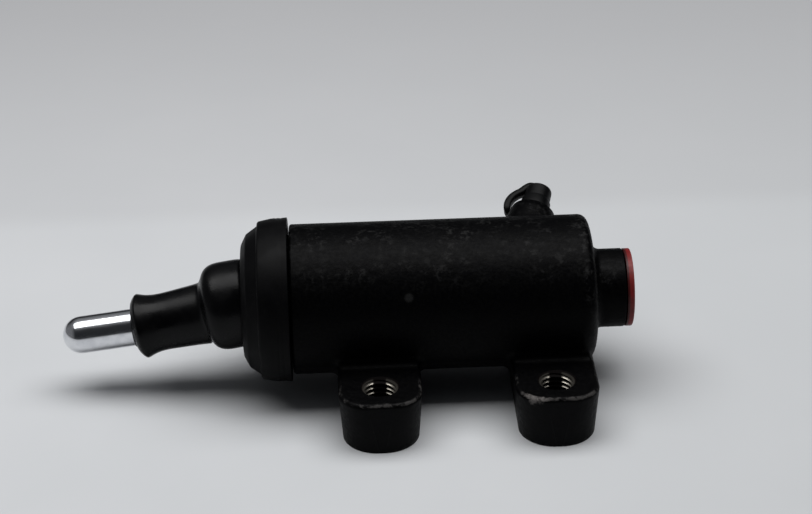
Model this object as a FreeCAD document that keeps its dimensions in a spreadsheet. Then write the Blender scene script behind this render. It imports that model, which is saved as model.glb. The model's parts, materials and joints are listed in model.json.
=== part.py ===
import FreeCAD, Part
import Sketcher
import math
import os
import re

# Hydraulic clutch slave cylinder: iron casting, piston, spring, push rod, rubber boot and bleed screw.
# The origin is the middle of the two mounting holes, on the flat underside of the lugs.
# X runs along the bore towards the fluid inlet, Y runs from the holes to the bore, and Z is up.
# A turned piece has its own axis along its X. On the bore, distances along X start at the holes' middle.

SIZES = {
    # Mounting lugs
    "hole_spacing": 50.8,
    "hole_tap_radius": 4.25,
    "hole_chamfer": 1.3,
    "axis_offset": 32.0,
    "axis_height": 27.4,
    "lug_height": 15.6,
    "lug_foot_side": 11.05,
    "lug_foot_front": 11.05,
    "lug_foot_corner": 10.4,
    "lug_top_side": 12.1,
    "lug_top_front": 10.3,
    "lug_top_corner": 8.0,
    "lug_reach_back": 9.0,
    "lug_heel_round": 6.0,
    "lug_root_round": 2.6,
    "lug_edge_round": 1.3,
    # Barrel, and the spigot that carries the boot
    "barrel_radius": 22.2,
    "barrel_front": 50.3,
    "barrel_rear": 38.9,
    "barrel_edge_round": 5.0,
    "shoulder_round": 0.8,
    "spigot_step": 3.2,
    "spigot_length": 11.2,
    "boot_groove_depth": 1.6,
    "boot_groove_setback": 3.0,
    "boot_groove_width": 4.0,
    # Bore and circlip
    "bore_radius": 14.3,
    "bore_floor": 12.9,
    "bore_chamfer": 0.8,
    "circlip_setback": 3.9,
    "circlip_thickness": 1.2,
    "circlip_groove_depth": 0.9,
    "circlip_width": 2.2,
    "circlip_gap": 3.4,
    "circlip_ear_radius": 2.1,
    "circlip_ear_hole_radius": 0.9,
    "circlip_ear_inset": 0.7,
    # Inlet boss and port
    "inlet_boss_radius": 11.65,
    "inlet_boss_length": 9.3,
    "inlet_root_round": 2.6,
    "inlet_edge_chamfer": 0.5,
    "port_tap_radius": 4.95,
    "port_tap_depth": 11.0,
    "port_chamfer": 0.6,
    "port_drill_angle": 31.0,
    "feed_radius": 1.75,
    # Bleed boss: where its axis leaves the bore axis, its direction and its reach from there
    "bleed_start": 15.0,
    "bleed_heading": 72.0,
    "bleed_rise": 22.0,
    "bleed_boss_radius": 6.8,
    "bleed_boss_height": 8.4,
    "bleed_boss_draft": 10.0,
    "bleed_root_round": 3.5,
    "bleed_tap_radius": 3.1,
    "bleed_tap_depth": 8.0,
    "bleed_drill_radius": 1.2,
    "bleed_drill_overrun": 1.4,
    # Piston
    "running_clearance": 0.05,
    "piston_length": 31.0,
    "piston_land": 4.0,
    "piston_relief": 0.6,
    "recess_mouth_radius": 11.2,
    "piston_nose_radius": 5.0,
    "piston_nose_length": 1.8,
    "socket_clearance": 0.2,
    # Cup seal, spreader and spring
    "cup_base": 3.2,
    "cup_length": 7.6,
    "cup_lip": 1.1,
    "cup_wall": 3.0,
    "spreader_flange": 1.6,
    "spreader_clearance": 0.3,
    "spreader_nose_radius": 4.9,
    "spreader_tip_radius": 3.9,
    "spreader_nose_length": 4.4,
    "seat_gap": 0.05,
    "wire_radius": 0.75,
    "spring_turns": 6.0,
    "spring_small_radius": 6.2,
    "spring_large_radius": 12.9,
    # Push rod
    "rod_radius": 5.55,
    "rod_reach": 83.2,
    "rod_droop": 7.0,
    "ball_depth": 25.5,
    # Dust boot
    "boot_clearance": 0.1,
    "collar_gap": 1.0,
    "collar_width": 8.4,
    "collar_front_rise": 1.1,
    "collar_rear_rise": 2.1,
    "dome_wall": 1.7,
    "dome_depth": 5.9,
    "dome_round": 5.0,
    "boot_wall": 1.8,
    "boot_droop": 10.8,
    "bulge_radius": 13.2,
    "bulge_tip_radius": 12.5,
    "bulge_length": 11.7,
    "bulge_round": 4.4,
    "neck_setback": 4.4,
    "neck_overlap": 2.5,
    "neck_taper_length": 13.2,
    "mouth_flare_length": 7.0,
    "neck_root_radius": 9.1,
    "neck_waist_radius": 8.45,
    "neck_mouth_radius": 9.6,
    "neck_bore_radius": 7.1,
    "mouth_edge": 0.6,
    "mouth_dome": 2.4,
    "lip_radius": 6.2,
    "lip_step": 0.7,
    "lip_length": 0.8,
    "lip_depth": 3.0,
    # Bleed screw, measured along the bleed axis from the face of its boss
    "screw_stand_off": 0.4,
    "seat_clearance": 0.1,
    "hex_across_flats": 7.9,
    "hex_height": 2.6,
    "nipple_radius": 2.35,
    "barb_radius": 2.85,
    "barb_length": 2.2,
    "nipple_length": 5.6,
    "screw_drill_radius": 0.8,
    # Rubber cap with its strap and ring
    "cap_radius": 4.3,
    "cap_bore_radius": 2.95,
    "ring_radius": 4.1,
    "ring_thickness": 1.1,
    "skirt_gap": 0.5,
    "cap_crown": 0.9,
    "cap_crown_round": 0.8,
    "strap_thickness": 1.3,
    "strap_width": 2.6,
    "strap_reach": 9.6,
    # Transport plug
    "plug_flange_radius": 11.6,
    "plug_flange_thickness": 1.7,
    "plug_edge_chamfer": 0.5,
    "plug_stand_off": 0.1,
    "plug_stem_length": 8.5,
    "plug_stem_gap": 0.1,
    "plug_taper": 0.5,
    "plug_wall": 1.3,
}

# Places that several pieces share
PLACES = {
    "spigot_radius": "barrel_radius - spigot_step",
    "boot_groove_radius": "spigot_radius - boot_groove_depth",
    "collar_front_radius": "barrel_radius + collar_front_rise",
    "collar_rear_radius": "barrel_radius + collar_rear_rise",
    "dome_radius": "spigot_radius + dome_wall",
    "bleed_boss_reach": "barrel_radius + bleed_boss_height",
    "mouth_x": "-barrel_front - spigot_length",
    "bore_end_x": "barrel_rear - bore_floor",
    "circlip_x": "mouth_x + circlip_setback",
    "piston_front_x": "circlip_x + circlip_thickness",
    "piston_rear_x": "piston_front_x + piston_length",
    "piston_radius": "bore_radius - running_clearance",
    "ball_x": "mouth_x + ball_depth",
    "socket_radius": "rod_radius + socket_clearance",
    "inlet_face_x": "barrel_rear + inlet_boss_length",
    "port_floor_x": "inlet_face_x - port_tap_depth",
    "groove_front_x": "mouth_x + boot_groove_setback",
    "groove_rear_x": "groove_front_x + boot_groove_width",
    "collar_rear_x": "-barrel_front - collar_gap",
    "collar_front_x": "collar_rear_x - collar_width",
    "dome_face_x": "collar_front_x - dome_depth",
    "bulge_end": "dome_face_x - bulge_length - mouth_x",
    "neck_pivot_x": "mouth_x + neck_setback",
    "neck_start": "neck_setback - bulge_end - neck_overlap",
    "neck_waist": "neck_start + neck_taper_length",
    "neck_end": "neck_waist + mouth_flare_length",
    "neck_tip_x": "neck_pivot_x - (neck_end + mouth_dome) * cos(boot_droop)",
    "lip_reach": "(ball_x - neck_tip_x) / cos(rod_droop)",
    "cup_floor_x": "piston_rear_x + cup_base",
    "spreader_radius": "piston_radius - cup_wall - spreader_clearance",
    "spring_start_x": "cup_floor_x + spreader_flange + seat_gap",
    "spring_rise": "bore_end_x - spring_start_x - seat_gap - 2 * wire_radius",
    "circlip_inner_radius": "bore_radius - circlip_width",
    "circlip_outer_radius": "bore_radius + circlip_groove_depth",
    "ear_side": "circlip_gap / 2 + circlip_ear_radius",
    "lug_top_z": "lug_height - axis_height",
    "hex_top": "screw_stand_off + hex_height",
    "ring_top": "hex_top + seat_gap + ring_thickness",
    "nipple_top": "hex_top + nipple_length",
    "cap_top": "nipple_top + seat_clearance + cap_crown",
    "strap_high": "cap_top - strap_thickness / 2",
    "strap_low": "hex_top + seat_gap + strap_thickness / 2",
    "strap_turn": "(strap_high - strap_low) / 2",
}

doc = FreeCAD.newDocument("ClutchSlaveCylinder")
sheet = doc.addObject("Spreadsheet::Sheet", "Sizes")


def fill_sheet():
    rows = {**SIZES, **{name: "=" + formula for name, formula in PLACES.items()}}
    for row, (name, content) in enumerate(rows.items(), start=1):
        sheet.set(f"A{row}", name)
        sheet.set(f"B{row}", str(content))
        sheet.setAlias(f"B{row}", name)
    doc.recompute()


def linked(formula):
    """The formula with every size name pointed at the sheet."""
    return re.sub(r"[a-z]\w+", lambda word: name_in_sheet(word.group()), str(formula))


def name_in_sheet(word):
    return "Sizes." + word if word in SIZES or word in PLACES else word


def size(formula):
    """The number that a formula gives with the sheet's present values."""
    result = sheet.evalExpression(linked(formula))
    return float(getattr(result, "Value", result))


def bind(owner, **formulas):
    """Set properties of an object from formulas; a double underscore stands for a dot."""
    for path, formula in formulas.items():
        owner.setExpression(path.replace("__", "."), linked(formula))


def new_body(label, along="0", beside="axis_offset", above="axis_height"):
    body = doc.addObject("PartDesign::Body", label)
    body.Label = label
    bind(body, Placement__Base__x=along, Placement__Base__y=beside, Placement__Base__z=above)
    return body


def new_sketch(body, name, role):
    sketch = body.newObject("Sketcher::SketchObject", name)
    plane = next(part for part in body.Origin.OriginFeatures if part.Role == role)
    sketch.AttachmentSupport = [(plane, "")]
    sketch.MapMode = "FlatFace"
    return sketch


def arc_edge(start, end, radius, leftward):
    """The arc of that radius from start to end, as a sketch holds it: always turning left."""
    half = (end - start) / 2
    side = FreeCAD.Vector(-half.y, half.x, 0).normalize()
    away = math.sqrt(max(radius**2 - half.Length**2, 0))
    centre = start + half + side * (away if leftward else -away)
    first, last = (start, end) if leftward else (end, start)
    angles = [math.atan2(point.y - centre.y, point.x - centre.x) for point in (first, last)]
    circle = Part.Circle(centre, FreeCAD.Vector(0, 0, 1), radius)
    return Part.ArcOfCircle(circle, *angles)


def fix_point(sketch, edge, end, across, up):
    for kind, formula in (("DistanceX", across), ("DistanceY", up)):
        index = sketch.addConstraint(Sketcher.Constraint(kind, -1, 1, edge, end, size(formula)))
        sketch.setExpression(f"Constraints[{index}]", linked(formula))


def draw_outline(sketch, corners):
    """A closed outline. Each corner is (across, up), with (radius, turn) where an arc leaves it."""
    points = [FreeCAD.Vector(size(corner[0]), size(corner[1]), 0) for corner in corners]
    ends = []
    for corner, start, end in zip(corners, points, points[1:] + points[:1]):
        if len(corner) == 2:
            sketch.addGeometry(Part.LineSegment(start, end), False)
            ends.append((1, 2))
        else:
            leftward = corner[3] == "left"
            sketch.addGeometry(arc_edge(start, end, size(corner[2]), leftward), False)
            ends.append((1, 2) if leftward else (2, 1))
    for edge, corner in enumerate(corners):
        after = (edge + 1) % len(corners)
        sketch.addConstraint(Sketcher.Constraint("Coincident", edge, ends[edge][1], after, ends[after][0]))
        fix_point(sketch, edge, ends[edge][0], corner[0], corner[1])
        if len(corner) > 2:
            index = sketch.addConstraint(Sketcher.Constraint("Radius", edge, size(corner[2])))
            sketch.setExpression(f"Constraints[{index}]", linked(corner[2]))


def draw_circle(sketch, across, up, radius):
    centre = FreeCAD.Vector(size(across), size(up), 0)
    circle = Part.Circle(centre, FreeCAD.Vector(0, 0, 1), size(radius))
    edge = sketch.addGeometry(circle, False)
    fix_point(sketch, edge, 3, across, up)
    index = sketch.addConstraint(Sketcher.Constraint("Radius", edge, size(radius)))
    sketch.setExpression(f"Constraints[{index}]", linked(radius))


def turn(body, name, corners, cut=False, axis="H_Axis", offset=None):
    """Turn an outline about its sketch's own axis, as solid metal or as a cut."""
    sketch = new_sketch(body, name + "_outline", "XZ_Plane")
    if offset:
        offset(sketch)
    draw_outline(sketch, corners)
    feature = body.newObject("PartDesign::Groove" if cut else "PartDesign::Revolution", name)
    feature.Profile = sketch
    feature.ReferenceAxis = (sketch, [axis])
    feature.Angle = 360
    doc.recompute()
    return feature


def press(body, name, sketch, length, cut=False):
    """Push a sketch out along its normal, as a pad or as a pocket the same way."""
    feature = body.newObject("PartDesign::Pocket" if cut else "PartDesign::Pad", name)
    feature.Profile = sketch
    feature.Reversed = cut
    bind(feature, Length=length)
    doc.recompute()
    return feature


def dress(body, kind, name, base, edges, extent):
    """Round or bevel the chosen edges of a feature."""
    feature = body.newObject("PartDesign::" + kind, name)
    feature.Base = (base, edges)
    bind(feature, **{"Radius" if kind == "Fillet" else "Size": extent})
    doc.recompute()
    return feature


def edges_where(feature, wanted):
    return [f"Edge{index}" for index, edge in enumerate(feature.Shape.Edges, start=1) if wanted(edge)]


def rim_edges(feature, along, radius):
    """The round edges about the X axis at that place and radius."""
    place, reach = size(along), size(radius)

    def on_rim(edge):
        if not isinstance(edge.Curve, Part.Circle):
            return False
        centre = edge.Curve.Center
        return (
            abs(centre.x - place) < 0.01
            and math.hypot(centre.y, centre.z) < 0.01
            and abs(edge.Curve.Radius - reach) < 0.01
        )

    return edges_where(feature, on_rim)


def mirror_lug(body, name, original):
    feature = body.newObject("PartDesign::Mirrored", name)
    plane = next(part for part in body.Origin.OriginFeatures if part.Role == "YZ_Plane")
    feature.Originals = [original]
    feature.MirrorPlane = (plane, [""])
    body.Tip = feature
    doc.recompute()
    return feature


def along_bleed(sketch):
    """Lay a sketch's own X on the bleed axis, starting where it leaves the bore axis."""
    turn_to_bleed = FreeCAD.Rotation(size("bleed_heading"), -size("bleed_rise"), 0)
    upright = FreeCAD.Rotation(FreeCAD.Vector(1, 0, 0), 90)
    sketch.AttachmentOffset = FreeCAD.Placement(
        FreeCAD.Vector(), upright.inverted() * turn_to_bleed * upright
    )
    bind(sketch, AttachmentOffset__Base__x="bleed_start")


def casting_outline():
    return [
        ("mouth_x", 0),
        ("mouth_x", "spigot_radius"),
        ("groove_front_x", "spigot_radius"),
        ("groove_front_x", "boot_groove_radius"),
        ("groove_rear_x", "boot_groove_radius"),
        ("groove_rear_x", "spigot_radius"),
        ("-barrel_front", "spigot_radius"),
        ("-barrel_front", "barrel_radius"),
        ("barrel_rear", "barrel_radius"),
        ("barrel_rear", "inlet_boss_radius"),
        ("inlet_face_x", "inlet_boss_radius"),
        ("inlet_face_x", 0),
    ]


def lug_outline(side, front, corner):
    """The plan of a lug about the left mounting hole: straight flanks, a round front and a round heel."""
    left = f"-hole_spacing / 2 - {side}"
    right = f"-hole_spacing / 2 + {side}"
    nose = f"-axis_offset - {front}"
    heel = "lug_reach_back"
    return [
        (left, heel + " - lug_heel_round"),
        (left, f"{nose} + {corner}", corner, "left"),
        (f"{left} + {corner}", nose),
        (f"{right} - {corner}", nose, corner, "left"),
        (right, f"{nose} + {corner}"),
        (right, heel + " - lug_heel_round", "lug_heel_round", "left"),
        (right + " - lug_heel_round", heel),
        (left + " + lug_heel_round", heel, "lug_heel_round", "left"),
    ]


def add_lugs(body):
    """Two lugs that widen a little from foot to top and run back under the barrel as a flat foot."""
    foot = new_sketch(body, "lug_foot", "XY_Plane")
    bind(foot, AttachmentOffset__Base__z="-axis_height")
    draw_outline(foot, lug_outline("lug_foot_side", "lug_foot_front", "lug_foot_corner"))
    top = new_sketch(body, "lug_top", "XY_Plane")
    bind(top, AttachmentOffset__Base__z="lug_top_z")
    draw_outline(top, lug_outline("lug_top_side", "lug_top_front", "lug_top_corner"))
    lug = body.newObject("PartDesign::AdditiveLoft", "lug")
    lug.Profile = foot
    lug.Sections = [top]
    lug.Ruled = True
    doc.recompute()
    return mirror_lug(body, "lugs", lug)


def add_bleed_boss(body):
    """A drafted boss whose wide end is buried in the barrel."""
    buried = "bore_radius"
    wide = "bleed_boss_radius + (bleed_boss_reach - bore_radius) * tan(bleed_boss_draft)"
    corners = [
        (buried, 0),
        ("bleed_boss_reach", 0),
        ("bleed_boss_reach", "bleed_boss_radius"),
        (buried, wide),
    ]
    return turn(body, "bleed_boss", corners, offset=along_bleed)


def on_barrel(point):
    return abs(math.hypot(point.y, point.z) - size("barrel_radius")) < 0.02


def is_root(edge):
    """True for an edge where a lug or the bleed boss meets the side of the barrel."""
    low, high = edge.ParameterRange
    stations = [edge.valueAt(low + (high - low) * share) for share in (0.1, 0.3, 0.5, 0.7, 0.9)]
    if not all(on_barrel(point) for point in stations):
        return False
    return max(point.x for point in stations) - min(point.x for point in stations) > 0.01


def is_lug_root(edge):
    """The straight root above a lug and the long ones down its flanks: the rest of the ring follows."""
    highest = max(vertex.Z for vertex in edge.Vertexes)
    return is_root(edge) and abs(highest - size("lug_top_z")) < 0.01


def is_lug_rim(edge):
    """The round front rim of a lug's upper face."""
    level = all(abs(vertex.Z - size("lug_top_z")) < 0.01 for vertex in edge.Vertexes)
    return level and isinstance(edge.Curve, Part.Circle) and edge.Curve.Center.y < 0


def is_bleed_root(edge):
    return is_root(edge) and edge.valueAt(edge.FirstParameter).z > 0


def bore_outline():
    """Bore, circlip groove, feed drilling and tapped port in one cut."""
    cone = "(port_tap_radius - feed_radius) * tan(port_drill_angle)"
    return [
        ("mouth_x", 0),
        ("mouth_x", "bore_radius + bore_chamfer"),
        ("mouth_x + bore_chamfer", "bore_radius"),
        ("circlip_x", "bore_radius"),
        ("circlip_x", "circlip_outer_radius"),
        ("piston_front_x", "circlip_outer_radius"),
        ("piston_front_x", "bore_radius"),
        ("bore_end_x", "bore_radius"),
        ("bore_end_x", "feed_radius"),
        (f"port_floor_x - {cone}", "feed_radius"),
        ("port_floor_x", "port_tap_radius"),
        ("inlet_face_x - port_chamfer", "port_tap_radius"),
        ("inlet_face_x", "port_tap_radius + port_chamfer"),
        ("inlet_face_x", 0),
    ]


def bleed_outline():
    """Tapped hole, conical seat and drilling into the bore, from the boss face inwards."""
    floor = "bleed_boss_reach - bleed_tap_depth"
    return [
        ("bore_radius - bleed_drill_overrun", 0),
        ("bore_radius - bleed_drill_overrun", "bleed_drill_radius"),
        (f"{floor} - (bleed_tap_radius - bleed_drill_radius)", "bleed_drill_radius"),
        (floor, "bleed_tap_radius"),
        ("bleed_boss_reach", "bleed_tap_radius"),
        ("bleed_boss_reach", 0),
    ]


def over_left_hole(sketch):
    bind(sketch, AttachmentOffset__Base__x="-hole_spacing / 2", AttachmentOffset__Base__z="axis_offset")


def hole_outline():
    return [
        (0, "-axis_height"),
        ("hole_tap_radius", "-axis_height"),
        ("hole_tap_radius", "lug_top_z - hole_chamfer"),
        ("hole_tap_radius + hole_chamfer", "lug_top_z"),
        (0, "lug_top_z"),
    ]


def make_casting():
    body = new_body("cylinder_body")
    base = turn(body, "barrel", casting_outline())
    rear_edge = rim_edges(base, "barrel_rear", "barrel_radius")
    base = dress(body, "Fillet", "rear_edge", base, rear_edge, "barrel_edge_round")
    inlet_root = rim_edges(base, "barrel_rear", "inlet_boss_radius")
    base = dress(body, "Fillet", "inlet_root", base, inlet_root, "inlet_root_round")
    inlet_edge = rim_edges(base, "inlet_face_x", "inlet_boss_radius")
    base = dress(body, "Chamfer", "inlet_edge", base, inlet_edge, "inlet_edge_chamfer")
    shoulder = rim_edges(base, "-barrel_front", "barrel_radius")
    dress(body, "Fillet", "shoulder", base, shoulder, "shoulder_round")
    add_lugs(body)
    base = add_bleed_boss(body)
    base = dress(body, "Fillet", "bleed_root", base, edges_where(base, is_bleed_root), "bleed_root_round")
    base = dress(body, "Fillet", "lug_rims", base, edges_where(base, is_lug_rim), "lug_edge_round")
    base = dress(body, "Fillet", "lug_roots", base, edges_where(base, is_lug_root), "lug_root_round")
    turn(body, "bore", bore_outline(), cut=True)
    turn(body, "bleed_drilling", bleed_outline(), cut=True, offset=along_bleed)
    hole = turn(body, "mounting_hole", hole_outline(), cut=True, axis="V_Axis", offset=over_left_hole)
    mirror_lug(body, "mounting_holes", hole)
    return body


def make_piston():
    """A hollow piston: the rod's round end sits deep in a cone, so that the rod can swing."""
    body = new_body("piston")
    waist = "piston_radius - piston_relief"
    front_land = "piston_front_x + piston_land"
    rear_land = "piston_rear_x - piston_land"
    corners = [
        ("piston_front_x", "recess_mouth_radius"),
        ("piston_front_x", "piston_radius"),
        (front_land, "piston_radius"),
        (front_land + " + piston_relief", waist),
        (rear_land + " - piston_relief", waist),
        (rear_land, "piston_radius"),
        ("piston_rear_x", "piston_radius"),
        ("piston_rear_x", "piston_nose_radius"),
        ("piston_rear_x + piston_nose_length", "piston_nose_radius"),
        ("piston_rear_x + piston_nose_length", 0),
        ("ball_x + socket_radius", 0, "socket_radius", "left"),
        ("ball_x", "socket_radius"),
    ]
    turn(body, "piston_turning", corners)
    return body


def make_circlip():
    """A flat ring with a gap and two eared ends, in its groove at the bore's mouth."""
    body = new_body("piston_circlip", along="circlip_x")
    ring = new_sketch(body, "ring", "YZ_Plane")
    for radius in ("circlip_outer_radius - running_clearance", "circlip_inner_radius"):
        draw_circle(ring, 0, 0, radius)
    press(body, "spring_ring", ring, "circlip_thickness")
    ears = new_sketch(body, "ears", "YZ_Plane")
    holes = new_sketch(body, "ear_holes", "YZ_Plane")
    across = "sqrt((circlip_inner_radius - circlip_ear_inset) ^ 2 - ear_side ^ 2)"
    for side in ("ear_side", "-ear_side"):
        draw_circle(ears, across, side, "circlip_ear_radius")
        draw_circle(holes, across, side, "circlip_ear_hole_radius")
    press(body, "plier_ears", ears, "circlip_thickness")
    gap = new_sketch(body, "gap", "YZ_Plane")
    beyond = "circlip_outer_radius + circlip_gap"
    draw_outline(
        gap,
        [
            ("circlip_ear_radius", "-circlip_gap / 2"),
            (beyond, "-circlip_gap / 2"),
            (beyond, "circlip_gap / 2"),
            ("circlip_ear_radius", "circlip_gap / 2"),
        ],
    )
    press(body, "ring_gap", gap, "circlip_thickness", cut=True)
    press(body, "plier_holes", holes, "circlip_thickness", cut=True)
    return body


def make_cup():
    """The rubber cup seal, whose lips open towards the fluid."""
    body = new_body("piston_cup")
    end = "piston_rear_x + cup_length"
    nose_end = "piston_rear_x + piston_nose_length + seat_gap"
    nose_side = "piston_nose_radius + running_clearance"
    corners = [
        ("piston_rear_x", nose_side),
        ("piston_rear_x", "piston_radius"),
        (end, "piston_radius"),
        (end, "piston_radius - cup_lip"),
        ("cup_floor_x", "piston_radius - cup_wall"),
        ("cup_floor_x", 0),
        (nose_end, 0),
        (nose_end, nose_side),
    ]
    turn(body, "cup_moulding", corners)
    return body


def make_spreader():
    """The moulded seat that holds the spring central in the cup."""
    body = new_body("cup_spreader")
    flange_end = "cup_floor_x + spreader_flange"
    corners = [
        ("cup_floor_x", 0),
        ("cup_floor_x", "spreader_radius"),
        (flange_end, "spreader_radius"),
        (flange_end, "spreader_nose_radius"),
        (flange_end + " + spreader_nose_length", "spreader_tip_radius"),
        (flange_end + " + spreader_nose_length", 0),
    ]
    turn(body, "spreader_moulding", corners)
    return body


def make_spring():
    """A light conical spring from the spreader to the floor of the bore."""
    body = new_body("return_spring")
    wire = new_sketch(body, "wire", "XZ_Plane")
    draw_circle(wire, "spring_start_x + wire_radius", "spring_small_radius", "wire_radius")
    coil = body.newObject("PartDesign::AdditiveHelix", "coil")
    coil.Profile = wire
    coil.ReferenceAxis = (wire, ["H_Axis"])
    coil.Mode = "height-turns-angle"
    spread = "atan((spring_large_radius - spring_small_radius) / spring_rise)"
    bind(coil, Height="spring_rise", Turns="spring_turns", Angle=spread)
    doc.recompute()
    return body


def make_push_rod():
    """A plain rod, round at both ends, that drops from the centre of its round inner end."""
    body = new_body("push_rod", along="ball_x")
    body.Placement.Rotation = FreeCAD.Rotation(FreeCAD.Vector(0, -1, 0), size("rod_droop"))
    bind(body, Placement__Rotation__Angle="rod_droop")
    corners = [
        ("rod_radius", 0, "rod_radius", "left"),
        (0, "rod_radius"),
        ("rod_radius - rod_reach", "rod_radius", "rod_radius", "left"),
        ("-rod_reach", 0),
    ]
    turn(body, "rod_turning", corners)
    return body


def drooping(start, droop="rod_droop"):
    """An offset that leans a sketch's X down towards the rod's tip, about a place on the bore axis."""

    def offset(sketch):
        lean = FreeCAD.Rotation(FreeCAD.Vector(0, 0, 1), size(droop))
        sketch.AttachmentOffset = FreeCAD.Placement(FreeCAD.Vector(), lean)
        bind(sketch, AttachmentOffset__Base__x=start, AttachmentOffset__Rotation__Angle=droop)

    return offset


def collar_outline():
    return [
        ("collar_rear_x", 0),
        ("collar_rear_x", "collar_rear_radius"),
        ("collar_front_x", "collar_front_radius"),
        ("collar_front_x", "dome_radius"),
        ("dome_face_x + dome_round", "dome_radius", "dome_round", "left"),
        ("dome_face_x", "dome_radius - dome_round"),
        ("dome_face_x", 0),
    ]


def bulge_outline():
    start = "dome_face_x - mouth_x + boot_wall"
    return [
        (start, 0),
        (start, "bulge_radius"),
        ("bulge_end + bulge_round", "bulge_tip_radius", "bulge_round", "left"),
        ("bulge_end", "bulge_tip_radius - bulge_round"),
        ("bulge_end", 0),
    ]


def neck_outline():
    """The neck with its flared mouth, whose end face bulges out round the rod."""
    return [
        ("-neck_start", 0),
        ("-neck_start", "neck_root_radius"),
        ("-neck_waist", "neck_waist_radius"),
        ("-neck_end", "neck_mouth_radius"),
        ("-neck_end - mouth_edge", "neck_mouth_radius"),
        ("-neck_end - mouth_dome", "lip_radius + lip_step"),
        ("-neck_end - mouth_dome", 0),
    ]


def lip_outline():
    """The lip that grips the rod, square to the rod."""
    return [
        ("lip_depth - lip_reach", 0),
        ("lip_depth - lip_reach", "lip_radius"),
        ("-lip_reach - lip_length", "lip_radius"),
        ("-lip_reach - lip_length", 0),
    ]


def spigot_hollow():
    """Inside the collar: the spigot, the bead in its groove and the dome's hollow."""
    seat = "spigot_radius + boot_clearance"
    bead = "boot_groove_radius + boot_clearance"
    inner_round = "mouth_x - dome_face_x - boot_wall"
    return [
        ("collar_rear_x", 0),
        ("collar_rear_x", seat),
        ("groove_rear_x - boot_clearance", seat),
        ("groove_rear_x - boot_clearance", bead),
        ("groove_front_x + boot_clearance", bead),
        ("groove_front_x + boot_clearance", seat),
        ("mouth_x", seat, inner_round, "left"),
        ("dome_face_x + boot_wall", f"{seat} - ({inner_round})"),
        ("dome_face_x + boot_wall", 0),
    ]


def bulge_hollow():
    start = "dome_face_x - mouth_x + 2 * boot_wall"
    inner_round = "bulge_round - boot_wall"
    return [
        (start, 0),
        (start, "bulge_radius - boot_wall"),
        ("bulge_end + bulge_round", "bulge_tip_radius - boot_wall", inner_round, "left"),
        ("bulge_end + boot_wall", "bulge_tip_radius - bulge_round"),
        ("bulge_end + boot_wall", 0),
    ]


def neck_hollow():
    return [
        ("-neck_start", 0),
        ("-neck_start", "neck_bore_radius"),
        ("lip_depth - neck_end", "neck_bore_radius"),
        ("lip_depth - neck_end", 0),
    ]


def lip_hole():
    grip = "rod_radius + boot_clearance"
    return [
        ("lip_depth * 3 - lip_reach", 0),
        ("lip_depth * 3 - lip_reach", grip),
        ("-lip_reach - lip_length", grip),
        ("-lip_reach - lip_length", 0),
    ]


def make_boot():
    """The rubber boot: a collar on the spigot, a dome, a bulge and a neck that drops to the rod."""
    body = new_body("dust_boot")
    turn(body, "collar", collar_outline())
    turn(body, "bulge", bulge_outline(), offset=drooping("mouth_x"))
    turn(body, "neck", neck_outline(), offset=drooping("neck_pivot_x", "boot_droop"))
    turn(body, "lip", lip_outline(), offset=drooping("ball_x"))
    turn(body, "collar_hollow", spigot_hollow(), cut=True)
    turn(body, "bulge_hollow", bulge_hollow(), cut=True, offset=drooping("mouth_x"))
    turn(body, "neck_hollow", neck_hollow(), cut=True, offset=drooping("neck_pivot_x", "boot_droop"))
    turn(body, "lip_hole", lip_hole(), cut=True, offset=drooping("ball_x"))
    return body


def on_bleed_face(label):
    """A body whose X starts on the face of the bleed boss and points out along it."""
    flat = "bleed_boss_reach * cos(bleed_rise)"
    body = new_body(
        label,
        along=f"bleed_start + {flat} * cos(bleed_heading)",
        beside=f"axis_offset + {flat} * sin(bleed_heading)",
        above="axis_height + bleed_boss_reach * sin(bleed_rise)",
    )
    body.Placement.Rotation = FreeCAD.Rotation(size("bleed_heading"), -size("bleed_rise"), 0)
    return body


def make_bleed_screw():
    """A hexagon with a barbed nipple, and a cone that shuts the drilling."""
    body = on_bleed_face("bleed_screw")
    thread = "bleed_tap_radius - running_clearance"
    seat = "seat_clearance - bleed_tap_depth"
    barb = "nipple_top - barb_length"
    corners = [
        (f"{seat} - ({thread} - bleed_drill_radius)", 0),
        (f"{seat} - ({thread} - bleed_drill_radius)", "bleed_drill_radius"),
        (seat, thread),
        ("screw_stand_off", thread),
        ("screw_stand_off", "nipple_radius"),
        (barb + " - (barb_radius - nipple_radius)", "nipple_radius"),
        (barb, "barb_radius"),
        ("nipple_top", "nipple_radius"),
        ("nipple_top", 0),
    ]
    turn(body, "screw_turning", corners)
    sketch = new_sketch(body, "hexagon", "YZ_Plane")
    bind(sketch, AttachmentOffset__Base__z="screw_stand_off")
    corner = "hex_across_flats / cos(30) / 2"
    angles = [60 * step for step in range(6)]
    draw_outline(sketch, [(f"{corner} * cos({angle})", f"{corner} * sin({angle})") for angle in angles])
    press(body, "hexagon_head", sketch, "hex_height")
    drilling = [
        (seat, 0),
        (seat, "screw_drill_radius"),
        ("nipple_top", "screw_drill_radius"),
        ("nipple_top", 0),
    ]
    turn(body, "centre_drilling", drilling, cut=True)
    return body


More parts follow.
